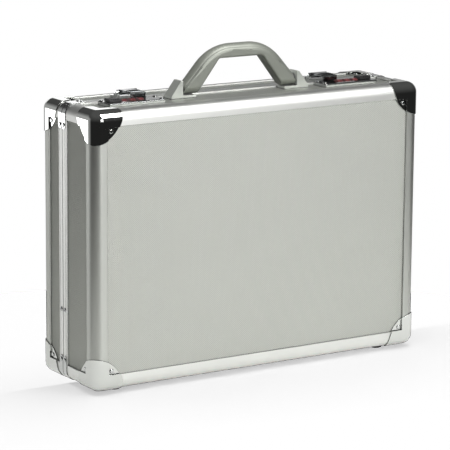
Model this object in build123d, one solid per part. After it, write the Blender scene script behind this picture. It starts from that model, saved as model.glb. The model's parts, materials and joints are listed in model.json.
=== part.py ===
from build123d import *
import os

# A hard attache case of aluminium-faced board in an aluminium frame, closed and standing on its hinge side.
# Origin: centre of the footprint, on the floor. +X right, +Y back, +Z up. Millimetres.

# ---- driving dimensions -------------------------------------------------------------------------
case_width = 458
case_height = 330
case_depth = 126
base_depth = 74.6                     # front shell, which carries the handle and the locks
lid_depth = case_depth - base_depth   # back shell, which opens
foot_height = 5
foot_radius = 7
foot_x = 188.6
foot_from_face = 25.2
edge_radius = 12                      # outer rounding of the frame
flange = 18                           # width of the frame that shows beside each panel
frame_wall = 2.2                      # thickness of the extruded frame, and depth of each panel's recess
board = 4                             # aluminium sheet bonded to stiff board
board_stop = 12.2                     # the boards end this far in from the outer faces
rim_depth = 8.6                       # of each closing frame, front to back
rim_inset = 10                        # its thickness, in from the case's outside
rim_lip = 4.6                         # depth over which its thin outer and inner walls hold a board
rim_line = 0.6                        # the fine grooves drawn into it
cap_wall = 1.2
cap_reach = 39                        # from the case's sharp corner to the cap's round edge
rivet_head = 2.6
rivet_shank = 1.3
rivet_from_edge = 23.5
plate_wall = 0.9
plate_reach = 29
lining_pad = 2.5

hinge_x = 140
hinge_length = 40
hinge_pin = 1.0
hinge_knuckle = 2.2
hinge_leaf = 1.2
hinge_leaf_width = 15                 # from the pin's axis
hinge_middle = 16                     # length of the lid's knuckle, between the base's two
running_gap = 0.05

handle_width = 18
handle_end = 79
handle_pin = 2.5
handle_pivot_rise = 11
bracket_face = 80.5
bracket_foot = 97

lock_inner = 112
lock_outer = 190
lock_rise = 2.4                       # lock cover above the case's top plane
dial_radius = 9
dial_width = 7
dial_pitch = 11
dial_first = 141
dial_rise = 1.8                       # the dials' crown above the cover
dial_axle = 1.5
slide_travel = 6
slide_from, slide_to = 168.5, 184.5   # the thumb piece at rest
slide_width = 14
slide_slot = 4                        # how deep the slot for its stem is

hasp_centre = 136
hasp_width = 20
hasp_pin = 1.5
hasp_knuckle = 3.2

stay_pin = 2.5
stay_width = 9
stay_wall = 1.5
stay_head_radius = 3.6

# ---- places worked out from them ----------------------------------------------------------------
half_width = case_width / 2
half_height = case_height / 2
front = -case_depth / 2
back = case_depth / 2
seam = front + base_depth
middle = foot_height + half_height    # height of the case's own centre
top = foot_height + case_height
panel_top = top - frame_wall
hinge_height = foot_height - 2.3
stay_rise = 87.1                      # the stays' lower pivots above the hinge line
sides = (-1, 1)


# ---- small helpers ------------------------------------------------------------------------------
def block(x0, x1, y0, y1, z0, z1):
    return Pos((x0 + x1) / 2, (y0 + y1) / 2, (z0 + z1) / 2) * Box(x1 - x0, y1 - y0, z1 - z0)


def rod(radius, x0, x1, y, z):
    """A round bar along X."""
    return Pos((x0 + x1) / 2, y, z) * Rot(0, 90, 0) * Cylinder(radius, x1 - x0)


def both_sides(shape):
    return [shape, mirror(shape, about=Plane.YZ)]


def save(name, *solids):
    shapes = [s for piece in solids for s in piece.solids()]
    export_step(shapes[0] if len(shapes) == 1 else Compound(children=shapes), f"parts/{name}.step")


def rivet(point, outward, shank):
    """A dome-headed rivet: its head sits on the point, and its shank goes the other way."""
    disc = Cylinder(rivet_head, 1.1, align=(Align.CENTER, Align.CENTER, Align.MIN))
    head = fillet(disc.edges().sort_by(Axis.Z)[-1], 0.9)
    stem = Cylinder(rivet_shank, shank, align=(Align.CENTER, Align.CENTER, Align.MAX))
    return Plane(origin=point, z_dir=outward).location * (head + stem)


def apart(a, b):
    """Whether two bounding boxes keep clear of each other."""
    gaps = (a.min.X - b.max.X, b.min.X - a.max.X, a.min.Y - b.max.Y, b.min.Y - a.max.Y,
            a.min.Z - b.max.Z, b.min.Z - a.max.Z)
    return max(gaps) > 0


def drilled(solid, pins):
    """The solid with a hole for each pin that reaches it."""
    for pin in pins:
        if not apart(solid.bounding_box(), pin.bounding_box()):
            solid = solid - pin
    return solid


# ---- one shell of the case, in its own frame ----------------------------------------------------
# x right, y depth in from the shell's outer face, z up from the case's centre. The lid's is mirrored.
def hoop(outer_inset, inner_inset, start, end):
    """A closed ring that follows the case's outline, between two insets and two depths."""
    def outline(inset):
        radius = max(edge_radius - inset, 1.5)
        return RectangleRounded(case_width - 2 * inset, case_height - 2 * inset, radius)
    ring = extrude(outline(outer_inset) - outline(inner_inset), end - start)
    return Pos(0, start, 0) * Rot(-90, 0, 0) * ring


def frame_section():
    """The edge extrusion: two flanges round a radius, slots for both boards, one hollow cell."""
    def patch(u0, u1, v0, v1):
        return Pos((u0 + u1) / 2, (v0 + v1) / 2) * Rectangle(u1 - u0, v1 - v0)
    def rounded(inset):
        square = patch(inset, flange, inset, flange)
        corner = square.vertices().sort_by(lambda v: v.X + v.Y)[0]
        return fillet(corner, edge_radius - inset)
    slot_in = frame_wall + board
    inner = slot_in + frame_wall
    section = rounded(0) - rounded(frame_wall)
    section += patch(slot_in, flange, slot_in, inner) + patch(slot_in, inner, slot_in, flange)
    section += patch(board_stop - frame_wall, board_stop, frame_wall, slot_in)
    section += patch(frame_wall, slot_in, board_stop - frame_wall, board_stop)
    return section


def frame_edges(rim_start):
    """Extrusions round the outer face and along the four depth-wise corners, stopped short under the caps."""
    stop = flange + 0.2
    section = frame_section()
    along_x = Plane(origin=(-half_width + stop, 0, half_height), x_dir=(0, 0, -1), z_dir=(1, 0, 0))
    along_z = Plane(origin=(half_width, 0, half_height - stop), x_dir=(-1, 0, 0), z_dir=(0, 0, -1))
    along_y = Plane(origin=(half_width, rim_start, half_height), x_dir=(-1, 0, 0), z_dir=(0, -1, 0))
    top_edge = extrude(along_x * section, case_width - 2 * stop)
    side_edge = extrude(along_z * section, case_height - 2 * stop)
    corner = extrude(along_y * section, rim_start - stop)
    upper = both_sides(corner)
    return {
        "top_edge": [top_edge],
        "bottom_edge": [mirror(top_edge, about=Plane.XY)],
        "side_edges": both_sides(side_edge),
        "corner_edges": upper + [mirror(c, about=Plane.XY) for c in upper],
    }


def boards(rim_start):
    """The face panel and the four walls, each a flat board let into the frame's slots."""
    x, z = half_width - board_stop, half_height - board_stop
    out, inside = frame_wall, frame_wall + board
    wall_end = rim_start + rim_lip
    face = block(-x, x, out, inside, -z, z)
    upper = block(-x, x, board_stop, wall_end, half_height - inside, half_height - out)
    side = block(half_width - inside, half_width - out, board_stop, wall_end, -z, z)
    return {
        "panel": [face],
        "top_wall": [upper],
        "bottom_wall": [mirror(upper, about=Plane.XY)],
        "side_walls": both_sides(side),
    }


def rim(rim_start, tongue):
    """The closing frame: it grips the walls' ends, and its meeting face has a groove or a tongue."""
    web = rim_start + rim_lip
    end = rim_start + rim_depth
    slot_in = frame_wall + board
    ring = hoop(0, frame_wall, rim_start, web) + hoop(slot_in, rim_inset, rim_start, web)
    ring += hoop(0, rim_inset, web, end)
    for line in (rim_start + 2, end - rim_line):
        ring -= hoop(0, rim_line, line, line + rim_line)
    if tongue:
        return ring + hoop(4, 6.4, end, end + 2)
    return ring - hoop(3.2, 7.2, end - 2.4, end)


def case_form(grow):
    """The whole case as one rounded block, grown all round."""
    size = [d + 2 * grow for d in (case_width, case_depth, case_height)]
    solid = Box(*size)
    return Pos(0, case_depth / 2, 0) * fillet(solid.edges(), edge_radius + grow)


def corner_cap():
    """A pressed cap on the upper right corner: three lobes, each stepped down on to its panel."""
    corner = (half_width, 0, half_height)
    reach = Pos(*corner) * Sphere(cap_reach)
    cap = (case_form(cap_wall) - case_form(0)) & reach
    low, floor, far = -cap_wall, frame_wall, 45
    for wall_from, skin in ((flange, 0), (flange + cap_wall, cap_wall)):
        x, y, z = half_width - wall_from, wall_from, half_height - wall_from
        deep = floor - skin
        lobes = [
            block(x - far, x, low, deep, z - far, z),
            block(x - far, x, y, y + far, half_height - deep, half_height - low),
            block(half_width - deep, half_width - low, y, y + far, z - far, z),
        ]
        for lobe in lobes:
            cap = cap - lobe if skin else cap + (lobe & reach)
    return cap


def corner_rivets():
    """Three rivets in the upper right cap: places and outward directions."""
    near, seat = rivet_from_edge, frame_wall - cap_wall
    x, z = half_width - near, half_height - near
    return [
        ((x, seat, z), (0, -1, 0)),
        ((x, near, half_height - seat), (0, 0, 1)),
        ((half_width - seat, near, z), (1, 0, 0)),
    ]


def rim_plate(rim_start):
    """A thin plate wrapped round the rim's upper right corner, with round ends."""
    centre, width = rim_start + rim_depth / 2, rim_depth - 1
    ring = hoop(-plate_wall, 0, rim_start, rim_start + rim_depth)
    over = 6
    slot = SlotOverall(plate_reach + over, width)
    to_middle = (over - plate_reach) / 2
    across = extrude(Pos(half_width + to_middle, centre) * slot, half_height + over)
    down = Plane(origin=(0, centre, half_height + to_middle), x_dir=(0, 0, 1), z_dir=(1, 0, 0))
    upright = extrude(down * slot, half_width + over)
    turn = edge_radius + 2
    across &= block(0, case_width, 0, case_depth, half_height - turn, case_height)
    upright &= block(half_width - turn, case_width, 0, case_depth, 0, case_height)
    return ring & (across + upright)


def plate_rivets(rim_start):
    centre, near = rim_start + rim_depth / 2, plate_reach - 5
    return [
        ((half_width - near, centre, half_height + plate_wall), (0, 0, 1)),
        ((half_width + plate_wall, centre, half_height - near), (1, 0, 0)),
    ]


def lining(rim_start):
    """A padded tray inside the shell."""
    inner = frame_wall + board + frame_wall
    x, z = half_width - inner, half_height - inner
    outer = block(-x, x, inner, rim_start, -z, z)
    in_x, in_z = x - lining_pad, z - lining_pad
    return outer - block(-in_x, in_x, inner + lining_pad, rim_start + 1, -in_z, in_z)


def spread(places):
    """Copies of upper right places and directions at all four corners."""
    out = []
    for sx in sides:
        for sz in sides:
            for (x, y, z), (a, b, c) in places:
                out.append(((sx * x, y, sz * z), (sx * a, b, sz * c)))
    return out


def shell(depth, tongue):
    """Every fixed piece of one shell, by name."""
    rim_start = depth - rim_depth
    pieces = {**frame_edges(rim_start), **boards(rim_start)}
    pieces["rim"] = [rim(rim_start, tongue)]
    pieces["lining"] = [lining(rim_start)]
    cap_rivets = [rivet(p, n, cap_wall + 2.5) for p, n in spread(corner_rivets())]
    thin_rivets = [rivet(p, n, plate_wall + frame_wall - 0.1) for p, n in spread(plate_rivets(rim_start))]
    plate = rim_plate(rim_start)
    cap = corner_cap()
    for form, words in ((plate, "plate"), (cap, "cap")):
        right = {"top_right": form, "bottom_right": mirror(form, about=Plane.XY)}
        for place, copy in right.items():
            pieces[f"{words}_{place}"] = [copy]
            pieces[f"{words}_{place.replace('right', 'left')}"] = [mirror(copy, about=Plane.YZ)]
    for name in [n for n in pieces if n.startswith("cap") or n.endswith(("panel", "wall", "walls"))]:
        pieces[name] = [drilled(s, cap_rivets) for s in pieces[name]]
    for name in [n for n in pieces if n.startswith("plate") or n == "rim"]:
        pieces[name] = [drilled(s, thin_rivets) for s in pieces[name]]
    pieces["rim_plates"] = [s for n in sorted(pieces) if n.startswith("plate") for s in pieces.pop(n)]
    pieces["rivets"] = cap_rivets + thin_rivets
    return pieces


def to_base(shape):
    return Pos(0, front, middle) * shape


def to_lid(shape):
    return Pos(0, back, middle) * mirror(shape, about=Plane.XZ)


base = {n: [to_base(s) for s in group] for n, group in shell(base_depth, tongue=False).items()}
lid = {n: [to_lid(s) for s in group] for n, group in shell(lid_depth, tongue=True).items()}
base_rim_start = seam - rim_depth
lid_rim_end = seam + rim_depth


# ---- hinges under the meeting line --------------------------------------------------------------
def hinge(x):
    """One butt hinge: the base's leaf with two knuckles, the lid's with one, and the pin."""
    half, split, gap = hinge_length / 2, hinge_middle / 2, 0.25
    low, high, clear = foot_height - hinge_leaf, foot_height, 0.3
    near = hinge_knuckle + clear
    def leaf(direction, spans, bore):
        y_near, y_far = sorted((seam + direction * near, seam + direction * hinge_leaf_width))
        plate = block(x - half, x + half, y_near, y_far, low, high)
        y_in, y_out = sorted((seam + direction * clear, seam + direction * near))
        for a, b in spans:
            plate += block(x + a, x + b, y_in, y_out, low, high - 0.1)
            plate += rod(hinge_knuckle, x + a, x + b, seam, hinge_height)
        for a, b in spans:
            plate -= rod(bore, x + a, x + b, seam, hinge_height)
        return plate
    base_leaf = leaf(-1, [(-half, -split - gap), (split + gap, half)], hinge_pin)
    lid_leaf = leaf(1, [(gap - split, split - gap)], hinge_pin + running_gap)
    return base_leaf, lid_leaf, rod(hinge_pin, x - half, x + half, seam, hinge_height)


hinges = [hinge(s * hinge_x) for s in sides]
leaf_rivets = {-1: [], 1: []}
for side in sides:
    for direction in sides:
        for along in (-13, 13):
            spot = (side * hinge_x + along, seam + direction * hinge_leaf_width / 2, foot_height - hinge_leaf)
            leaf_rivets[direction].append(rivet(spot, (0, 0, -1), hinge_leaf + 1.2))
base["hinge_leaves"] = [drilled(leaf, leaf_rivets[-1]) for leaf, _, _ in hinges]
lid["hinge_leaves"] = [drilled(leaf, leaf_rivets[1]) for _, leaf, _ in hinges]
base["rim"] = [drilled(base["rim"][0], leaf_rivets[-1])]
lid["rim"] = [drilled(lid["rim"][0], leaf_rivets[1])]
base["rivets"] += leaf_rivets[-1]
lid["rivets"] += leaf_rivets[1]
hinge_pins = [pin for _, _, pin in hinges]


# ---- feet ---------------------------------------------------------------------------------------
def feet(y):
    """Two round feet on a bottom wall."""
    foot = Cylinder(foot_radius, foot_height + frame_wall, align=(Align.CENTER, Align.CENTER, Align.MIN))
    foot = fillet(foot.edges().sort_by(Axis.Z)[0], 1)
    return [Pos(side * foot_x, y, 0) * foot for side in sides]


base["feet"] = feet(front + foot_from_face)
lid["feet"] = feet(back - foot_from_face)


# ---- folding lid stays inside both ends ---------------------------------------------------------
stay_low = hinge_height + stay_rise
stay_knee = hinge_height + 2 * stay_rise
rim_face = half_width - rim_inset
base_pivot = seam - rim_depth / 2
lid_pivot = seam + rim_depth / 2
lower_arm_face = rim_face - 4         # the arms' inner faces, one arm inside the other
upper_arm_face = lower_arm_face - stay_wall - 0.9


def stay_head(arm_face, y, z):
    """The flat head that keeps an arm on its pin."""
    return rod(stay_head_radius, arm_face - 0.7, arm_face - 0.2, y, z)


def stay_stud(y, arm_face):
    """A shouldered stud on the rim's inner face, with its head."""
    shoulder = rod(4, rim_face - 0.8, rim_face, y, stay_low)
    return shoulder + stay_head(arm_face, y, stay_low) + rod(stay_pin, arm_face - 0.7, rim_face, y, stay_low)


def stay_arm(y, face, foot_bore):
    """A flat bar from a foot pivot to the knee, with round ends."""
    foot_end = Pos(y, stay_low) * Circle(stay_width / 2)
    knee_end = Pos(seam, stay_knee) * Circle(stay_width / 2)
    outline = make_hull(foot_end.edges() + knee_end.edges())
    bar = extrude(Plane(origin=(face, 0, 0), x_dir=(0, 1, 0), z_dir=(1, 0, 0)) * outline, stay_wall)
    return bar - rod(foot_bore, face, face + stay_wall, y, stay_low)


lower_arm = stay_arm(base_pivot, lower_arm_face, stay_pin + running_gap)
upper_arm = stay_arm(lid_pivot, upper_arm_face, stay_pin + 0.4)
upper_arm -= rod(stay_pin + running_gap, upper_arm_face - 1, upper_arm_face + 3, seam, stay_knee)
lower_arm += rod(stay_pin, upper_arm_face - 0.7, lower_arm_face, seam, stay_knee)
lower_arm += stay_head(upper_arm_face, seam, stay_knee)
base["stay_studs"] = both_sides(stay_stud(base_pivot, lower_arm_face))
lid["stay_studs"] = both_sides(stay_stud(lid_pivot, upper_arm_face))
for group, y in ((base, base_pivot), (lid, lid_pivot)):
    outside = [rivet((side * half_width, y, stay_low), (side, 0, 0), frame_wall - 0.1) for side in sides]
    group["rim"] = [drilled(group["rim"][0], outside)]
    group["rivets"] += outside


# ---- handle -------------------------------------------------------------------------------------
handle_y = base_rim_start - handle_width / 2
handle_z = top + handle_pivot_rise
crown = top + 58.6
pad_top = top + 1.2
handle_clear = 0.8


def handle_grip():
    """An arched grip with straight slanting legs, round at the pivots."""
    shoulder, foot, under, elbow, low = 40.5, handle_end - 18, top + 42, top + 15, handle_z - 9
    arch = [(-handle_end, elbow), (-shoulder, crown), (shoulder, crown), (handle_end, elbow)]
    outside = FilletPolyline(*arch, radius=62)
    legs = Polyline((handle_end, elbow), (handle_end, low), (foot, low))
    inside = FilletPolyline((foot, low), (30, under), (-30, under), (-foot, low), radius=5)
    close = Polyline((-foot, low), (-handle_end, low), (-handle_end, elbow))
    outline = make_face(outside.edges() + legs.edges() + inside.edges() + close.edges())
    upright = Plane(origin=(0, handle_y + handle_width / 2, 0), x_dir=(1, 0, 0), z_dir=(0, -1, 0))
    grip = extrude(upright * outline, handle_width)
    soft = [e for e in grip.edges() if abs(e.center().Z - handle_z) > 10 and abs(e.center().Y - handle_y) > 8]
    grip = fillet(soft, 2.5)
    ends = rod(handle_width / 2, -handle_end, handle_end, handle_y, handle_z)
    above = block(-handle_end, handle_end, handle_y - 20, handle_y + 20, handle_z, crown + 5)
    grip = grip & (ends + above)
    for side in sides:
        x0, x1 = sorted((side * (handle_end - 14), side * (handle_end + 1)))
        grip -= rod(handle_pin + running_gap, x0, x1, handle_y, handle_z)
    return grip


def handle_bracket():
    """The right bracket: a gusset outside the handle's end, on a foot that reaches in under it."""
    half = handle_width / 2 - 0.5
    foot = block(bracket_face - 18, bracket_foot, handle_y - half, handle_y + half, panel_top, pad_top)
    apex = top + 19
    side_view = make_face(Polyline((bracket_face, pad_top), (bracket_foot, pad_top), (bracket_face + 3, apex),
                                   (bracket_face, apex), close=True))
    upright = Plane(origin=(0, handle_y + half, 0), x_dir=(1, 0, 0), z_dir=(0, -1, 0))
    gusset = extrude(upright * side_view, 2 * half)
    bracket = foot + gusset
    return bracket - rod(handle_pin, bracket_face - 1, bracket_face + 7, handle_y, handle_z)


handle_pin_form = rod(handle_pin, handle_end - 13.5, bracket_face + 7, handle_y, handle_z)


# ---- combination locks --------------------------------------------------------------------------
# Modelled on the right; the left one is its mirror image.
lock_front = front + 34
lock_back = front + 62
lock_mid = (lock_front + lock_back) / 2
cover_top = top + lock_rise
dial_axis = cover_top + dial_rise - dial_radius
housing_low = dial_axis - dial_radius - 2.3
dial_x = [dial_first + i * dial_pitch for i in range(3)]
stem_from, stem_to = 173, 181
hasp_front = front + 58.5
hasp_axis_y = front + 88
hasp_axis_z = top + 5

# the window cut in the top wall for each lock
window_x = (lock_inner + 6, lock_outer - 6)
window_y = (lock_front + 4, lock_back - 4)


def lock_body():
    """Cover and housing with a round pocket for each dial, a slot for the slide and a notch for the hasp."""
    cover = block(lock_inner, lock_outer, lock_front, lock_back, panel_top, cover_top)
    cover = fillet(cover.edges().filter_by(Axis.Z), 3)
    cover = chamfer(cover.edges().group_by(Axis.Z)[-1], 1)
    body = cover + block(window_x[0] + 0.2, window_x[1] - 0.2, window_y[0] + 0.2, window_y[1] - 0.2,
                         housing_low, panel_top)
    for x in dial_x:
        pocket = dial_width / 2 + 0.3
        body -= rod(dial_radius + 0.4, x - pocket, x + pocket, lock_mid, dial_axis)
    body -= rod(dial_axle, dial_x[0] - 7, dial_x[-1] + 7, lock_mid, dial_axis)
    body -= block(stem_from - 0.5, stem_to + slide_travel + 0.5, lock_mid - 3.5, lock_mid + 3.5,
                  cover_top - slide_slot, cover_top + 1)
    hasp_from, hasp_to = hasp_centre - hasp_width / 2 - 0.5, hasp_centre + hasp_width / 2 + 0.5
    return body - block(hasp_from, hasp_to, hasp_front - 0.8, lock_back + 1, top + 0.5, cover_top + 1)


def lock_slide():
    """The thumb piece on its stem, with cross ridges."""
    low, half = cover_top + 0.3, slide_width / 2
    high = low + 3.2
    thumb = block(slide_from, slide_to, lock_mid - half, lock_mid + half, low, high)
    thumb = chamfer(thumb.edges().group_by(Axis.Z)[-1], 0.8)
    for i in range(4):
        groove = slide_from + 3 * (i + 1)
        thumb -= block(groove, groove + 1, lock_mid - half, lock_mid + half, high - 0.6, high)
    return thumb + block(stem_from, stem_to, lock_mid - 3, lock_mid + 3, cover_top - slide_slot + 0.3, low)


def dial(x):
    low, high = x - dial_width / 2, x + dial_width / 2
    wheel = chamfer(rod(dial_radius, low, high, lock_mid, dial_axis).edges(), 0.5)
    return wheel - rod(dial_axle + running_gap, low - 1, high + 1, lock_mid, dial_axis)


def hasp():
    """The overcentre plate on the lid: ribbed on top, with a lip that drops into the lock, and a knuckle."""
    x0, x1 = hasp_centre - hasp_width / 2, hasp_centre + hasp_width / 2
    high, low = top + 8.5, top + 6.5
    plate = block(x0, x1, hasp_front, hasp_axis_y, low, high)
    plate = chamfer(plate.edges().group_by(Axis.Z)[-1], 0.6)
    lip = block(x0, x1, hasp_front, hasp_front + 2, top + 1, high - 1)
    for along in (6, 10, 14):
        plate += rod(1.3, x0 + 2, x1 - 2, hasp_front + along, high - 0.4)
    knuckle = rod(hasp_knuckle, x0, x1, hasp_axis_y, hasp_axis_z)
    return plate + lip + knuckle - rod(hasp_pin + running_gap, x0, x1, hasp_axis_y, hasp_axis_z)


def keeper():
    """The hasp's plate on the lid, with a lug at each end of the knuckle."""
    reach = hasp_width / 2 + 4
    plate_y = lid_rim_end + 0.2
    plate = block(hasp_centre - reach, hasp_centre + reach, plate_y, hasp_axis_y + 13, panel_top, top + 1)
    for side in sides:
        x0, x1 = sorted((hasp_centre + side * (hasp_width / 2 + 0.4), hasp_centre + side * reach))
        plate += block(x0, x1, hasp_axis_y - hasp_knuckle, hasp_axis_y + hasp_knuckle, panel_top, hasp_axis_z)
        plate += rod(hasp_knuckle, x0, x1, hasp_axis_y, hasp_axis_z)
    return plate - rod(hasp_pin, hasp_centre - reach, hasp_centre + reach, hasp_axis_y, hasp_axis_z)


hasp_pin_form = rod(hasp_pin, hasp_centre - hasp_width / 2 - 4, hasp_centre + hasp_width / 2 + 4,
                    hasp_axis_y, hasp_axis_z)
axle_form = rod(dial_axle, dial_x[0] - 7, dial_x[-1] + 7, lock_mid, dial_axis)
lock_window = block(*window_x, *window_y, housing_low - 1, top)
lining_window = block(window_x[0] - 1, window_x[1] + 1, window_y[0] - 1, window_y[1] + 1,
                      housing_low - 3, top)
for cutter, name in ((lock_window, "top_wall"), (lining_window, "lining")):
    for copy in both_sides(cutter):
        base[name] = [base[name][0] - copy]

lock_screws = [rivet((lock_inner + 3.6, lock_mid + dy, cover_top), (0, 0, 1), 2) for dy in (-8, 8)]
lock_screws.append(rivet((lock_outer - 3.8, lock_back - 3.8, cover_top), (0, 0, 1), 2))
keeper_screws = [rivet((hasp_centre + dx, hasp_axis_y + 8.5, top + 1), (0, 0, 1), 2) for dx in (-9, 9)]
lock_right = drilled(lock_body(), lock_screws)
keeper_right = drilled(keeper(), keeper_screws)
for group, screws in ((base, lock_screws), (lid, keeper_screws)):
    group["rivets"] += [copy for screw in screws for copy in both_sides(screw)]


# ---- write every node ---------------------------------------------------------------------------
base["front_panel"] = base.pop("panel")
lid["back_panel"] = lid.pop("panel")
for prefix, group in (("base", base), ("lid", lid)):
    for name, solids in group.items():
        save(f"{prefix}_{name}", *solids)

save("hinge_pins", *hinge_pins)
save("stay_lower_arms", *both_sides(lower_arm))
save("stay_upper_arms", *both_sides(upper_arm))
save("handle_grip", handle_grip())
save("handle_pins", *both_sides(handle_pin_form))
save("lock_dial_axles", *both_sides(axle_form))
save("lock_hasp_pins", *both_sides(hasp_pin_form))
save("lock_keepers", *both_sides(keeper_right))
one_sided = {"handle_bracket": handle_bracket(), "lock_body": lock_right, "lock_slide": lock_slide(),
             "lock_hasp": hasp()}
for i, x in enumerate(dial_x):
    one_sided[f"lock_dial_{i + 1}"] = dial(x)
for name, form in one_sided.items():
    right, left = both_sides(form)
    save(f"{name}_right", right)
    save(f"{name}_left", left)
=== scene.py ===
import json
import math

import bmesh
import bpy
from mathutils import Matrix, Quaternion, Vector


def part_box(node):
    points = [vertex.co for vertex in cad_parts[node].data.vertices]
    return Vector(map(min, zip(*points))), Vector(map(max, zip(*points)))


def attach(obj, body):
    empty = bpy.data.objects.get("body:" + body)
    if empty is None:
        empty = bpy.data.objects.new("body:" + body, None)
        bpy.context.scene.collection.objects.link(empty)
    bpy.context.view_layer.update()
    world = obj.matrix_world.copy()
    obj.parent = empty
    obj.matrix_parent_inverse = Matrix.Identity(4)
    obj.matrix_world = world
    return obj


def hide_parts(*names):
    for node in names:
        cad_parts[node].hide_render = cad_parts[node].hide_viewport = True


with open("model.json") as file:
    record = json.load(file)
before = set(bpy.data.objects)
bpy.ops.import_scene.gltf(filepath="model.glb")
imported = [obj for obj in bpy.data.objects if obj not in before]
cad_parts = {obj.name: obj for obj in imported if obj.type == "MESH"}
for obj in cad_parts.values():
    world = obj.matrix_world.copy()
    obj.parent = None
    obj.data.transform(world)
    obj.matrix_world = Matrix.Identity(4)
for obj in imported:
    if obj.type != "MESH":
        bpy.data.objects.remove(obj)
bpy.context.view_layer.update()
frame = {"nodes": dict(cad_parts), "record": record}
print("frame loaded:", len(frame["nodes"]), "nodes")

# looks and shapes are given in millimetres and degrees, the stage in metres
millimetre = 0.001


def linear(hexColour):
    channels = [int(hexColour[i:i + 2], 16) / 255 for i in (1, 3, 5)]
    return [c / 12.92 if c <= 0.04045 else ((c + 0.055) / 1.055) ** 2.4 for c in channels] + [1.0]


def firstOutput(node):
    return next(output for output in node.outputs if output.enabled)


def addNode(tree, kind, inputs=None, feeds=None, **settings):
    # an input given as a node or a socket is linked, anything else is set; feeds is the socket for the result
    node = tree.nodes.new(kind)
    for name, value in settings.items():
        setattr(node, name, value)
    for name, value in (inputs or {}).items():
        if isinstance(value, bpy.types.Node):
            value = firstOutput(value)
        if isinstance(value, bpy.types.NodeSocket):
            tree.links.new(value, node.inputs[name])
        else:
            node.inputs[name].default_value = value
    if feeds:
        tree.links.new(firstOutput(node), feeds)
    return node


def newMaterial(name, **shaderInputs):
    material = bpy.data.materials.new(name)
    material.use_nodes = True
    tree = material.node_tree
    shader = tree.nodes["Principled BSDF"]
    for key, value in shaderInputs.items():
        shader.inputs[key.replace("_", " ")].default_value = value
    return material, tree, shader


def objectAxis(tree, axis):
    # one object coordinate, in millimetres
    place = addNode(tree, "ShaderNodeTexCoord")
    parts = addNode(tree, "ShaderNodeSeparateXYZ", {0: place.outputs["Object"]})
    return addNode(tree, "ShaderNodeMath", {0: parts.outputs[axis], 1: 1 / millimetre}, operation="MULTIPLY")


def grainOver(tree, size, stretch=(1, 1, 1), detail=2.0):
    # irregular grain of this size in millimetres, laid over the object
    place = addNode(tree, "ShaderNodeTexCoord")
    mapping = addNode(tree, "ShaderNodeMapping", {"Vector": place.outputs["Object"], "Scale": stretch})
    return addNode(tree, "ShaderNodeTexNoise", {"Vector": mapping, "Scale": 1 / (size * millimetre),
                                                "Detail": detail})


def waveAlong(tree, axis, operation, frequency):
    turns = addNode(tree, "ShaderNodeMath", {0: objectAxis(tree, axis), 1: frequency}, operation="MULTIPLY")
    return addNode(tree, "ShaderNodeMath", {0: turns}, operation=operation)


# how far and how dark the painted corner shade reaches
cornerShadeLook = {"reach": 3, "samples": 6, "from": 0.35, "to": 0.8, "dark": "#3c3d3b"}


def grimed(tree, shader, colour):
    # ambient occlusion darkens the colour in the narrow corners: painted shade, so the joints and the rims of
    # rivets are darker
    corner = addNode(tree, "ShaderNodeAmbientOcclusion", {"Distance": cornerShadeLook["reach"] * millimetre},
                     samples=cornerShadeLook["samples"])
    unshaded = addNode(tree, "ShaderNodeMapRange", {"Value": corner.outputs["AO"], "From Min": cornerShadeLook["from"],
                                                 "From Max": cornerShadeLook["to"]})
    addNode(tree, "ShaderNodeMix", {"Factor": unshaded, "A": linear(cornerShadeLook["dark"]), "B": colour},
            shader.inputs["Base Color"], data_type="RGBA")


# the high and low colours paint light on the bosses' tops and shade in the hollows between them
sheetLook = {"pitch": 2.4, "depth": 0.24, "sideDepth": 0.5, "roughness": 0.55,
             "high": "#d6d8d2", "low": "#b9bbb5"}


def embossedSheet(across, up, depth=sheetLook["depth"]):
    # anodised aluminium sheet, rolled with a diamond grid of small bosses: the bosses catch the light one by
    # one, so the face looks even and grainy. The real pitch is about 1.5 mm, drawn at 2.4 so that it shows.
    material, tree, shader = newMaterial(f"embossedAluminiumSheet{across}{up}", Metallic=1.0,
                                         Roughness=sheetLook["roughness"])
    waves = [waveAlong(tree, axis, "COSINE", 2 * math.pi / sheetLook["pitch"]) for axis in (across, up)]
    boss = addNode(tree, "ShaderNodeMath", {0: waves[0], 1: waves[1]}, operation="MULTIPLY")
    height = addNode(tree, "ShaderNodeMapRange", {"Value": boss})   # the hollows between bosses are all alike
    # the boss tops are painted lighter and the hollows darker: painted light and shade on the bosses
    paintedBossShade = addNode(tree, "ShaderNodeMix", {"Factor": height, "A": linear(sheetLook["low"]),
                                           "B": linear(sheetLook["high"])}, data_type="RGBA")
    # painted shade in the narrow corners
    grimed(tree, shader, firstOutput(paintedBossShade))
    addNode(tree, "ShaderNodeBump", {"Height": boss, "Distance": depth * millimetre}, shader.inputs["Normal"])
    return material


# the uprights' darker colour stands for the duller light they get, not for another finish
extrusionLook = {"roughness": 0.46, "spread": (-0.06, 0.06), "bentSpread": (-0.1, 0.02), "colour": "#e0e1de",
                 "upright": "#bcbeb9", "streak": 0.35, "stretch": 0.02, "detail": 3.0, "depth": 0.02,
                 "strength": 0.6}


def dieLined(tree, shader, lines, spread):
    rough = extrusionLook["roughness"]
    addNode(tree, "ShaderNodeMapRange", {"Value": lines, "To Min": rough + spread[0],
                                         "To Max": rough + spread[1]}, shader.inputs["Roughness"])
    addNode(tree, "ShaderNodeBump", {"Height": lines, "Distance": extrusionLook["depth"] * millimetre,
                                     "Strength": extrusionLook["strength"]}, shader.inputs["Normal"])


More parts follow.
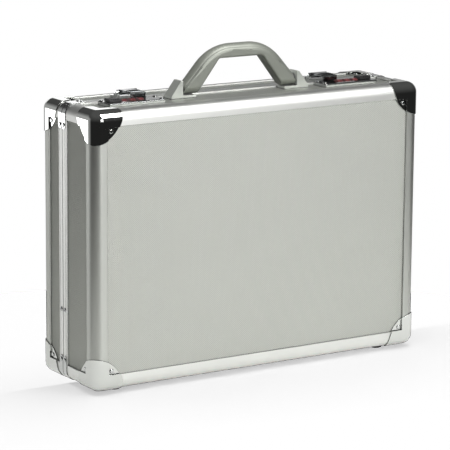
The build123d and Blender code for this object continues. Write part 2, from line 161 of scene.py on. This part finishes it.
def anodisedExtrusion(along, colour=extrusionLook["colour"]):
    # anodised 6063 extrusion: satin, with faint die lines along its length that stretch the highlights
    material, tree, shader = newMaterial(f"anodisedExtrusion{along}", Metallic=1.0)
    # painted shade in the narrow corners
    grimed(tree, shader, linear(colour))
    stretch = [extrusionLook["stretch"] if axis == along else 1.0 for axis in "XYZ"]
    lines = grainOver(tree, extrusionLook["streak"], stretch, extrusionLook["detail"])
    dieLined(tree, shader, lines, extrusionLook["spread"])
    return material


def bentExtrusion():
    # the closing frames are one extrusion bent round the case, so their die lines follow the outline: the
    # lines depend only on the distance from the outline and on the depth
    material, tree, shader = newMaterial("anodisedBentExtrusion", Metallic=1.0)
    # painted shade in the narrow corners
    grimed(tree, shader, linear(extrusionLook["colour"]))
    lowest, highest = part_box("base_rim")
    middle = [(a + b) / 2 / millimetre for a, b in zip(lowest, highest)]
    half = [(b - a) / 2 / millimetre for a, b in zip(lowest, highest)]
    fromCentre = addNode(tree, "ShaderNodeMath", {0: objectAxis(tree, "X")}, operation="ABSOLUTE")
    across = addNode(tree, "ShaderNodeMath", {0: fromCentre, 1: half[0]}, operation="SUBTRACT")
    above = addNode(tree, "ShaderNodeMath", {0: objectAxis(tree, "Z"), 1: middle[2]}, operation="SUBTRACT")
    fromMiddle = addNode(tree, "ShaderNodeMath", {0: above}, operation="ABSOLUTE")
    up = addNode(tree, "ShaderNodeMath", {0: fromMiddle, 1: half[2]}, operation="SUBTRACT")
    outline = addNode(tree, "ShaderNodeMath", {0: across, 1: up}, operation="MAXIMUM")
    place = addNode(tree, "ShaderNodeCombineXYZ", {"X": outline, "Y": objectAxis(tree, "Y")})
    lines = addNode(tree, "ShaderNodeTexNoise", {"Vector": place, "Scale": 1 / extrusionLook["streak"],
                                                 "Detail": extrusionLook["detail"]})
    dieLined(tree, shader, lines, extrusionLook["bentSpread"])
    return material


satinLook = {"spread": (0.8, 1.2), "depth": 0.01}


def satinMetal(name, colour, roughness, grain, metallic=1.0):
    # cast, blasted or plated metal with a fine even grain. A silver lacquer is metal flake in a clear binder,
    # so it is less metallic than bare metal
    material, tree, shader = newMaterial(name, Metallic=metallic)
    # painted shade in the narrow corners
    grimed(tree, shader, linear(colour))
    pattern = grainOver(tree, grain)
    low, high = (roughness * share for share in satinLook["spread"])
    addNode(tree, "ShaderNodeMapRange", {"Value": pattern, "To Min": low, "To Max": high},
            shader.inputs["Roughness"])
    addNode(tree, "ShaderNodeBump", {"Height": pattern, "Distance": satinLook["depth"] * millimetre},
            shader.inputs["Normal"])
    return material


chromeLook = {"spread": (0.6, 1.6), "wave": 9, "waveDetail": 1.0, "waveDepth": 0.05, "mark": 1.2,
              "markStretch": (1, 1, 0.2), "markDetail": 4.0}


def chromePlate(name, colour, roughness):
    # pressed steel, copper-nickel-chrome plated: a mirror with the press's slight waviness and wiping marks
    material, tree, shader = newMaterial(name, Metallic=1.0)
    # painted shade in the narrow corners
    grimed(tree, shader, linear(colour))
    waves = grainOver(tree, chromeLook["wave"], detail=chromeLook["waveDetail"])
    marks = grainOver(tree, chromeLook["mark"], chromeLook["markStretch"], chromeLook["markDetail"])
    low, high = (roughness * share for share in chromeLook["spread"])
    addNode(tree, "ShaderNodeMapRange", {"Value": marks, "To Min": low, "To Max": high},
            shader.inputs["Roughness"])
    addNode(tree, "ShaderNodeBump", {"Height": waves, "Distance": chromeLook["waveDepth"] * millimetre},
            shader.inputs["Normal"])
    return material


plasticLook = {"spread": (-0.05, 0.08), "detail": 3.0, "ior": 1.5}


def mouldedPlastic(name, colour, roughness, grain, depth):
    # injection moulded plastic: spark-eroded grain, soft highlight
    material, tree, shader = newMaterial(name, Base_Color=linear(colour), IOR=plasticLook["ior"])
    pattern = grainOver(tree, grain, detail=plasticLook["detail"])
    low, high = (roughness + change for change in plasticLook["spread"])
    addNode(tree, "ShaderNodeMapRange", {"Value": pattern, "To Min": low, "To Max": high},
            shader.inputs["Roughness"])
    addNode(tree, "ShaderNodeBump", {"Height": pattern, "Distance": depth * millimetre},
            shader.inputs["Normal"])
    return material


liningLook = {"thread": 0.8, "colour": "#2b2d31", "light": "#45484d", "contrast": (0.2, 0.8), "depth": 0.12,
              "strength": 0.6, "offset": 0.3, "roughness": 0.85, "sheen": 0.3, "sheenRoughness": 0.4}


def wovenLining():
    # woven nylon over foam: a plain weave of threads over and under each other, dull with a faint sheen.
    # The real thread spacing is about 0.4 mm, drawn at 0.8 so that it shows.
    material, tree, shader = newMaterial("wovenNylonOverFoam", Roughness=liningLook["roughness"],
                                         Sheen_Weight=liningLook["sheen"],
                                         Sheen_Roughness=liningLook["sheenRoughness"])
    waves = [waveAlong(tree, axis, "SINE", math.pi / liningLook["thread"]) for axis in "XYZ"]
    # on each flat wall two of the three waves run across it, and the third is nearly still
    warp = addNode(tree, "ShaderNodeMath", {0: waves[0], 1: liningLook["offset"]}, operation="ADD")
    weft = addNode(tree, "ShaderNodeMath", {0: waves[1], 1: waves[2]}, operation="ADD")
    weave = addNode(tree, "ShaderNodeMath", {0: warp, 1: weft}, operation="MULTIPLY")
    lit = addNode(tree, "ShaderNodeMapRange", {"Value": weave, "To Min": liningLook["contrast"][0],
                                               "To Max": liningLook["contrast"][1]})
    addNode(tree, "ShaderNodeMix", {"Factor": lit, "A": linear(liningLook["colour"]),
                                    "B": linear(liningLook["light"])}, shader.inputs["Base Color"],
            data_type="RGBA")
    addNode(tree, "ShaderNodeBump", {"Height": weave, "Distance": liningLook["depth"] * millimetre,
                                     "Strength": liningLook["strength"]}, shader.inputs["Normal"])
    return material


# a satin metal or a plastic is given by its colour, its roughness and its grain in millimetres
materials = {
    "corner_chrome": chromePlate("chromedPressedSteel", "#d6d8d5", 0.05),
    "bright_chrome": chromePlate("chromedDieCasting", "#c9cbca", 0.08),
    "steel": satinMetal("zincPlatedSteel", "#b9bcbf", 0.35, 0.5),
    "handle_grey": satinMetal("silverLacqueredAlloy", "#868981", 0.48, 0.35, metallic=0.6),
    "bracket_grey": satinMetal("silverLacqueredZinc", "#b4b7b1", 0.4, 0.4, metallic=0.6),
    "dial": mouldedPlastic("redBrownAcetal", "#5e2a2c", 0.3, 0.5, 0.01),
    "foot_rubber": mouldedPlastic("blackRubber", "#17181a", 0.7, 0.6, 0.03),
    "lining": wovenLining(),
}
slideBlack = mouldedPlastic("blackMouldedNylon", "#101112", 0.35, 0.3, 0.02)
haspNickel = chromePlate("blackNickelPlate", "#6a6c6d", 0.12)
digitWhite = mouldedPlastic("whitePaintedDigits", "#e8e6e0", 0.5, 0.3, 0.005)
rolledFinishes = {
    "panel": embossedSheet("X", "Z"), "top_wall": embossedSheet("X", "Y"),
    "bottom_wall": embossedSheet("X", "Y"),
    "side_walls": embossedSheet("Y", "Z", sheetLook["sideDepth"]),
    "top_edge": anodisedExtrusion("X"), "bottom_edge": anodisedExtrusion("X"),
    "side_edges": anodisedExtrusion("Z", extrusionLook["upright"]), "corner_edges": anodisedExtrusion("Y"),
    "_rim": bentExtrusion(),
}
slotOf = {s["node"]: s["material_slot"] for s in frame["record"]["subparts"]}
bodyOf = {node: body for body, nodes in frame["record"]["behaviour"]["bodies"].items() for node in nodes}


def finishFor(node):
    if "slide" in node:
        return slideBlack
    if "hasp_left" in node or "hasp_right" in node:
        return haspNickel
    for ending, material in rolledFinishes.items():
        if node.endswith(ending):
            return material
    return materials[slotOf[node]]


def dress(piece, material):
    piece.data.materials.clear()
    piece.data.materials.append(material)


for name, node in frame["nodes"].items():
    dress(node, finishFor(name))
print("materials on the CAD nodes")


# a piece that is pressed, cast or moulded has rounded edges, which a merged copy of its CAD node is given
copyLook = {"merge": 0.002, "flat": 0.5, "sharp": 30, "edge": 35, "segments": 2, "faceWeight": 100}


def mergedCopy(nodeName):
    form = bmesh.new()
    form.from_mesh(frame["nodes"][nodeName].data)
    bmesh.ops.remove_doubles(form, verts=form.verts, dist=copyLook["merge"] * millimetre)
    bmesh.ops.dissolve_limit(form, angle_limit=math.radians(copyLook["flat"]), verts=form.verts,
                             edges=form.edges)
    return form


def linkedObject(name, form):
    mesh = bpy.data.meshes.new(name)
    form.to_mesh(mesh)
    form.free()
    made = bpy.data.objects.new(name, mesh)
    bpy.context.collection.objects.link(made)
    return made


def newPiece(name, form, material, nodeName):
    # the piece takes over from its CAD node: its body, its slot and its place
    piece = linkedObject(name, form)
    piece.data.shade_smooth()
    piece.data.set_sharp_from_angle(angle=math.radians(copyLook["sharp"]))
    dress(piece, material)
    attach(piece, bodyOf[nodeName])
    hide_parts(nodeName)
    return piece


def rounded(piece, width):
    bevel = piece.modifiers.new("edges", "BEVEL")
    bevel.width = width * millimetre
    bevel.segments = copyLook["segments"]
    bevel.limit_method = "ANGLE"
    bevel.angle_limit = math.radians(copyLook["edge"])
    bevel.harden_normals = True
    bevel.use_clamp_overlap = True
    flat = piece.modifiers.new("flatFacesStayFlat", "WEIGHTED_NORMAL")
    flat.keep_sharp = True
    flat.weight = copyLook["faceWeight"]


def sliced(form, spot, across, tolerance=1e-6, **more):
    bmesh.ops.bisect_plane(form, geom=form.verts[:] + form.edges[:] + form.faces[:], dist=tolerance,
                           plane_co=spot, plane_no=across, **more)


# the grip's outer side is crowned. A groove runs along each flank, and the faces below it stand further in.
# Each plane is a distance from the middle of the bar, and the fall there is how far the surface is lowered.
gripLook = {"planes": (9.0, 8.2, 7.6, 7.3, 6.6, 6.3, 5.0, 2.6, 0.0),
            "falls": (7.0, 5.6, 5.0, 7.0, 7.0, 4.4, 2.7, 0.7, 0.0), "plainFoot": 5, "fade": 9, "heart": 0.45,
            "facing": 0.02, "inside": 0.001, "slack": 0.01, "edge": 0.3}


def grooved(form, low, high):
    # cut the bar lengthways at each plane, then lower its outer side by the fall at that distance
    middleY = (low.y + high.y) / 2
    heart = Vector(((low.x + high.x) / 2, 0, low.z + gripLook["heart"] * (high.z - low.z)))
    for distance in gripLook["planes"]:
        for side in {1, -1} if distance else {1}:
            spot = Vector((0, middleY + side * (distance - gripLook["inside"]) * millimetre, 0))
            sliced(form, spot, (0, 1, 0), 1e-7)
    bmesh.ops.recalc_face_normals(form, faces=form.faces)
    form.normal_update()
    planes, falls = gripLook["planes"][::-1], gripLook["falls"][::-1]
    moves = {}
    for vert in form.verts:
        outward = Vector((vert.normal.x, 0, vert.normal.z))
        fromHeart = vert.co - heart
        fromHeart.y = 0
        height = (vert.co.z - low.z) / millimetre - gripLook["plainFoot"]
        if outward.length < gripLook["facing"] or outward.dot(fromHeart) <= 0 or height < 0:
            continue
        distance = abs(vert.co.y - middleY) / millimetre
        step = next((i for i in range(1, len(planes)) if distance <= planes[i] + gripLook["slack"]),
                    len(planes) - 1)
        share = min(max((distance - planes[step - 1]) / (planes[step] - planes[step - 1]), 0), 1)
        fall = falls[step - 1] + share * (falls[step] - falls[step - 1])
        moves[vert] = outward.normalized() * (-fall * min(height / gripLook["fade"], 1) * millimetre)
    for vert, move in moves.items():
        vert.co += move


gripLow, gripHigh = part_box("handle_grip")
gripForm = mergedCopy("handle_grip")
grooved(gripForm, Vector(gripLow), Vector(gripHigh))
rounded(newPiece("handle_grip_moulded", gripForm, materials["handle_grey"], "handle_grip"), gripLook["edge"])
print("grip")


# each dial has ten flats with a digit on each, and a toothed edge at both ends to turn it by
dialLook = {"flats": 10, "teeth": 30, "toothDepth": 0.45, "toothInset": 0.02, "edgeWidth": 1.6,
            "edgeOverlap": 1.8, "rim": 0.5, "edge": 0.12,
            "digit": 5.0, "digitWeight": 0.14, "digitRaise": 0.04, "inset": 0.35}


def prism(form, segments, radius, depth, z):
    turn = Matrix.Translation((0, 0, z)) @ Matrix.Rotation(math.pi / segments, 4, "Z")
    return bmesh.ops.create_cone(form, cap_ends=True, segments=segments, radius1=radius, radius2=radius,
                                 depth=depth, matrix=turn)["verts"]


def makeDial(nodeName):
    low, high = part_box(nodeName)
    width, radius = high[0] - low[0], (high[2] - low[2]) / 2
    edge = dialLook["edgeWidth"] * millimetre
    form = bmesh.new()
    # the drum's corners reach almost to the toothed edges
    prism(form, dialLook["flats"], radius - dialLook["inset"] * millimetre,
          width - dialLook["edgeOverlap"] * edge, 0)
    for side in (-1, 1):
        verts = prism(form, 2 * dialLook["teeth"], radius, edge, side * (width - edge) / 2)
        faces = {face for vert in verts for face in vert.link_faces}
        sides = sorted((f for f in faces if abs(f.normal.z) < dialLook["rim"]),
                       key=lambda f: math.atan2(f.calc_center_median().y, f.calc_center_median().x))
        bmesh.ops.inset_individual(form, faces=sides[::2], thickness=dialLook["toothInset"] * millimetre,
                                   depth=-dialLook["toothDepth"] * millimetre)
    # it is made round Z, then laid along X at the middle of the CAD piece
    middle = (Vector(low) + Vector(high)) / 2
    bmesh.ops.transform(form, verts=form.verts,
                        matrix=Matrix.Translation(middle) @ Matrix.Rotation(math.pi / 2, 4, "Y"))
    rounded(newPiece(f"{nodeName}_wheel", form, materials["dial"], nodeName), dialLook["edge"])


def makeDigits(nodeName):
    low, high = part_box(nodeName)
    radius = (high[2] - low[2]) / 2
    middle = (Vector(low) + Vector(high)) / 2
    face = (radius - dialLook["inset"] * millimetre) * math.cos(math.pi / dialLook["flats"])
    lift = Matrix.Translation((0, 0, face + dialLook["digitRaise"] / 2 * millimetre))
    form = bmesh.new()
    for digit in range(dialLook["flats"]):
        words = bpy.data.curves.new("digit", "FONT")
        words.body = str(digit)
        words.size = dialLook["digit"] * millimetre
        words.extrude = dialLook["digitRaise"] * millimetre
        words.offset = dialLook["digitWeight"] * millimetre
        words.align_x, words.align_y = "CENTER", "CENTER"
        holder = bpy.data.objects.new("digit", words)
        flat = bpy.data.meshes.new_from_object(holder)
        bpy.data.objects.remove(holder)
        turned = Matrix.Rotation(2 * math.pi * digit / dialLook["flats"], 4, "X")
        flat.transform(Matrix.Translation(middle) @ turned @ lift @ Matrix.Rotation(-math.pi / 2, 4, "Z"))
        form.from_mesh(flat)
        bpy.data.meshes.remove(flat)
    digits = linkedObject(f"{nodeName}_digits", form)
    dress(digits, digitWhite)
    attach(digits, bodyOf[nodeName])


for nodeName in sorted(frame["nodes"]):
    if nodeName.startswith("lock_dial_") and nodeName != "lock_dial_axles":
        makeDial(nodeName)
        makeDigits(nodeName)
print("dials")


# each lining is a foam-backed cloth tray, puffed on each wall and pulled in at a seam beside the folds
liningPad = {"cells": 26, "base": 1, "puff": 1.5, "puffReach": 30, "seamInset": 9, "seamWidth": 1.6,
             "seamDepth": 0.9, "windowX": 5, "windowY": 3, "mouthEdge": 5, "facing": 0.9, "fill": 0.4}


def cutWindows(form, lockBodies):
    # a window in the top wall lets each lock's housing through
    margins = [liningPad["windowX"] * millimetre, liningPad["windowY"] * millimetre]
    windows = []
    for lock in lockBodies:
        low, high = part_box(lock)
        windows.append([(low[i] + margins[i], high[i] - margins[i]) for i in range(2)])
        for i, limits in enumerate(windows[-1]):
            for limit in limits:
                spot, across = Vector(), Vector()
                spot[i], across[i] = limit, 1
                sliced(form, spot, across)
    form.normal_update()

    def inWindow(point):
        return any(all(a <= value <= b for value, (a, b) in zip(point, window)) for window in windows)

    cut = [f for f in form.faces if f.normal.z > liningPad["facing"] and inWindow(f.calc_center_median())]
    bmesh.ops.delete(form, geom=cut, context="FACES")


def clothThickness(vert, low, high):
    # thinnest at the folds and the mouth, with a stitched seam near them
    far = [min(abs(vert.co[i] - low[i]), abs(vert.co[i] - high[i])) / millimetre for i in range(3)]
    toEdge = sorted(far)[1]
    rise = min(toEdge / liningPad["puffReach"], 1)
    seam = math.exp(-((toEdge - liningPad["seamInset"]) / liningPad["seamWidth"]) ** 2)
    return (liningPad["base"] + liningPad["puff"] * math.sin(rise * math.pi / 2)
            - liningPad["seamDepth"] * seam)


def inwardFrom(vert):
    # one step along each axis that a wall at this point faces
    inward = Vector([0.0, 0.0, 0.0])
    for face in vert.link_faces:
        normal = -face.normal
        main = max(range(3), key=lambda i: abs(normal[i]))
        inward[main] = math.copysign(1, normal[main])
    return inward


def makeLining(nodeName, openSide, lockBodies=()):
    low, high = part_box(nodeName)
    size = [b - a for a, b in zip(low, high)]
    middle = [(a + b) / 2 for a, b in zip(low, high)]
    form = bmesh.new()
    bmesh.ops.create_cube(form, size=1, matrix=Matrix.Translation(middle) @ Matrix.Diagonal((*size, 1)))
    mouthY = high[1] if openSide > 0 else low[1]
    mouth = [f for f in form.faces if f.normal.y * openSide > liningPad["facing"]]
    bmesh.ops.delete(form, geom=mouth, context="FACES_ONLY")
    bmesh.ops.subdivide_edges(form, edges=form.edges[:], cuts=liningPad["cells"], use_grid_fill=True)
    cutWindows(form, lockBodies)
    # the cloth lies on the shell, so it is the inner face that swells
    moves = {vert: inwardFrom(vert) * clothThickness(vert, low, high) * millimetre for vert in form.verts}
    inner = bmesh.ops.duplicate(form, geom=form.verts[:] + form.edges[:] + form.faces[:])
    for old, new in inner["vert_map"].items():
        if old in moves:
            new.co += moves[old]
    innerFaces = [f for f in inner["geom"] if isinstance(f, bmesh.types.BMFace)]
    bmesh.ops.reverse_faces(form, faces=innerFaces)
    # the two skins are joined round the mouth and round each window
    loops = {}
    for edge in form.edges:
        if edge.is_boundary:
            spot = (edge.verts[0].co + edge.verts[1].co) / 2
            isWindow = lockBodies and abs(spot.y - mouthY) > liningPad["mouthEdge"] * millimetre
            loops.setdefault(math.copysign(1, spot.x) if isWindow else 0, []).append(edge)
    for edges in loops.values():
        bmesh.ops.bridge_loops(form, edges=edges)
    bmesh.ops.recalc_face_normals(form, faces=form.faces)
    tray = newPiece(f"{nodeName}_cloth", form, materials["lining"], nodeName)


makeLining("base_lining", 1, ("lock_body_left", "lock_body_right"))
makeLining("lid_lining", -1)
print("linings")


# the radius on the edges of each kind of piece; the first words that fit a node's name count
roundedEdges = {"_cap_": 0.6, "_rim_plates": 0.2, "lock_body_": 0.4, "lock_slide_": 0.4,
                "lock_hasp_left": 0.3, "lock_hasp_right": 0.3, "lock_keepers": 0.3, "handle_bracket_": 0.6,
                "hinge_leaves": 0.2, "_arms": 0.25, "_rim": 0.25, "_edge": 0.25}
for nodeName in sorted(frame["nodes"]):
    width = next((w for words, w in roundedEdges.items() if words in nodeName), None)
    if width:
        rounded(newPiece(f"{nodeName}_rounded", mergedCopy(nodeName), finishFor(nodeName), nodeName), width)
print("rounded copies")


camera = {"azimuth": -32.15, "elevation": 12.03, "roll": 0.42, "distance": 3.064, "lens": 202.1,
          "aim": (-0.0121, 0.0, 0.1703)}
turn, rise = math.radians(-camera["azimuth"]), math.radians(camera["elevation"])
forward = Vector((math.sin(turn) * math.cos(rise), math.cos(turn) * math.cos(rise), -math.sin(rise)))
eye = bpy.data.objects.new("camera", bpy.data.cameras.new("camera"))
bpy.context.collection.objects.link(eye)
eye.data.lens = camera["lens"]
eye.location = Vector(camera["aim"]) - forward * camera["distance"]
eye.rotation_mode = "QUATERNION"
rolled = Quaternion((0, 0, 1), math.radians(camera["roll"]))
eye.rotation_quaternion = forward.to_track_quat("-Z", "Y") @ rolled
bpy.context.scene.camera = eye

# the case stands with its base shell on a low step, whose back edge is just in front of the hinges, so the
# lid can hang down behind it when it opens.
# Both levels are shadow catchers: only the shadows on them show, against the white backdrop.
floorLook = {"radius": 0.75, "segments": 96, "edge": 0.0036, "drop": 0.082, "colour": "#d2d2d0",
             "roughness": 0.9}
paper = newMaterial("matWhitePaper", Base_Color=linear(floorLook["colour"]),
                    Roughness=floorLook["roughness"])[0]


def makeFloor(name, height, backEdge=None):
    disc = bmesh.new()
    bmesh.ops.create_circle(disc, cap_ends=True, segments=floorLook["segments"], radius=floorLook["radius"],
                            matrix=Matrix.Translation((0, 0, height)))
    if backEdge is not None:
        sliced(disc, (0, backEdge, 0), (0, 1, 0), clear_outer=True)
    floor = linkedObject(name, disc)
    dress(floor, paper)
    floor.is_shadow_catcher = True
    floor.visible_shadow = False


hinge = next(j for j in frame["record"]["behaviour"]["joints"] if j["name"] == "lid_hinge")
makeFloor("floor", 0, hinge["pos_m"][1] - floorLook["edge"])
makeFloor("lowerFloor", -floorLook["drop"])

# all lights face a point at half the height of the case
lights = {   # places and sizes in metres
    "softbox": {"at": (0.5, -0.9, 1.45), "size": (0.5, 1.0), "watts": 21, "shadow": False, "gloss": True},
    "frontFill": {"at": (0.5, -2.4, 0.75), "size": (0.8, 0.9), "watts": 26, "shadow": False, "gloss": True},
    "leftCard": {"at": (-1.76, 2.49, -0.15), "size": (0.5, 0.7), "watts": 3.7, "shadow": False,
                 "gloss": True},
    "topCard": {"at": (0.45, 2.4, 0.95), "size": (1.5, 0.7), "watts": 3.4, "shadow": False, "gloss": True},
    "tent": {"at": (0.0, 0.0, 2.2), "size": (3.2, 3.2), "watts": 66, "shadow": True, "gloss": False},
}
lightsFace = Vector((0, 0, 0.17))
for name, light in lights.items():
    lamp = bpy.data.lights.new(name, "AREA")
    lamp.shape = "RECTANGLE"
    lamp.size, lamp.size_y = light["size"]
    lamp.energy = light["watts"]
    lamp.use_shadow = light["shadow"]
    holder = bpy.data.objects.new(name, lamp)
    holder.location = light["at"]
    holder.rotation_mode = "QUATERNION"
    holder.rotation_quaternion = (lightsFace - Vector(light["at"])).to_track_quat("-Z", "Y")
    holder.visible_camera = False
    holder.visible_glossy = light["gloss"]   # the tent lights the floor and the plastic, not the metal
    bpy.context.collection.objects.link(holder)

# white to the camera all round. Reflections see a white sweep low behind the case and a dim room elsewhere
sweep = {"top": (0.2, 0.42), "ends": (0.15, 0.6), "light": 0.4, "room": (0.02, 0.1),
         "roomHeight": (-0.1, 0.8)}
world = bpy.data.worlds.new("studio")
world.use_nodes = True
bpy.context.scene.world = world
room = world.node_tree
room.nodes.clear()
white = (1, 1, 1, 1)
direction = addNode(room, "ShaderNodeTexCoord").outputs["Generated"]
along = addNode(room, "ShaderNodeSeparateXYZ", {0: direction})
ramp = addNode(room, "ShaderNodeMapRange", {
    "Value": along.outputs["Z"], "From Min": sweep["roomHeight"][0], "From Max": sweep["roomHeight"][1],
    "To Min": sweep["room"][0], "To Max": sweep["room"][1]})
behind = addNode(room, "ShaderNodeMapRange", {
    "Value": along.outputs["Y"], "From Min": sweep["ends"][0], "From Max": sweep["ends"][1]})
low = addNode(room, "ShaderNodeMapRange", {
    "Value": along.outputs["Z"], "From Min": sweep["top"][0], "From Max": sweep["top"][1],
    "To Min": sweep["light"], "To Max": 0.0})
card = addNode(room, "ShaderNodeMath", {0: behind, 1: low}, operation="MULTIPLY")
strength = addNode(room, "ShaderNodeMath", {0: ramp, 1: card}, operation="ADD")
roomLight = addNode(room, "ShaderNodeBackground", {"Color": white, "Strength": strength})
backdrop = addNode(room, "ShaderNodeBackground", {"Color": white, "Strength": 1.0})
seen = addNode(room, "ShaderNodeLightPath").outputs["Is Camera Ray"]
mixed = addNode(room, "ShaderNodeMixShader", {0: seen, 1: roomLight, 2: backdrop})
addNode(room, "ShaderNodeOutputWorld", {"Surface": mixed})
bpy.context.scene.view_settings.view_transform = "Standard"
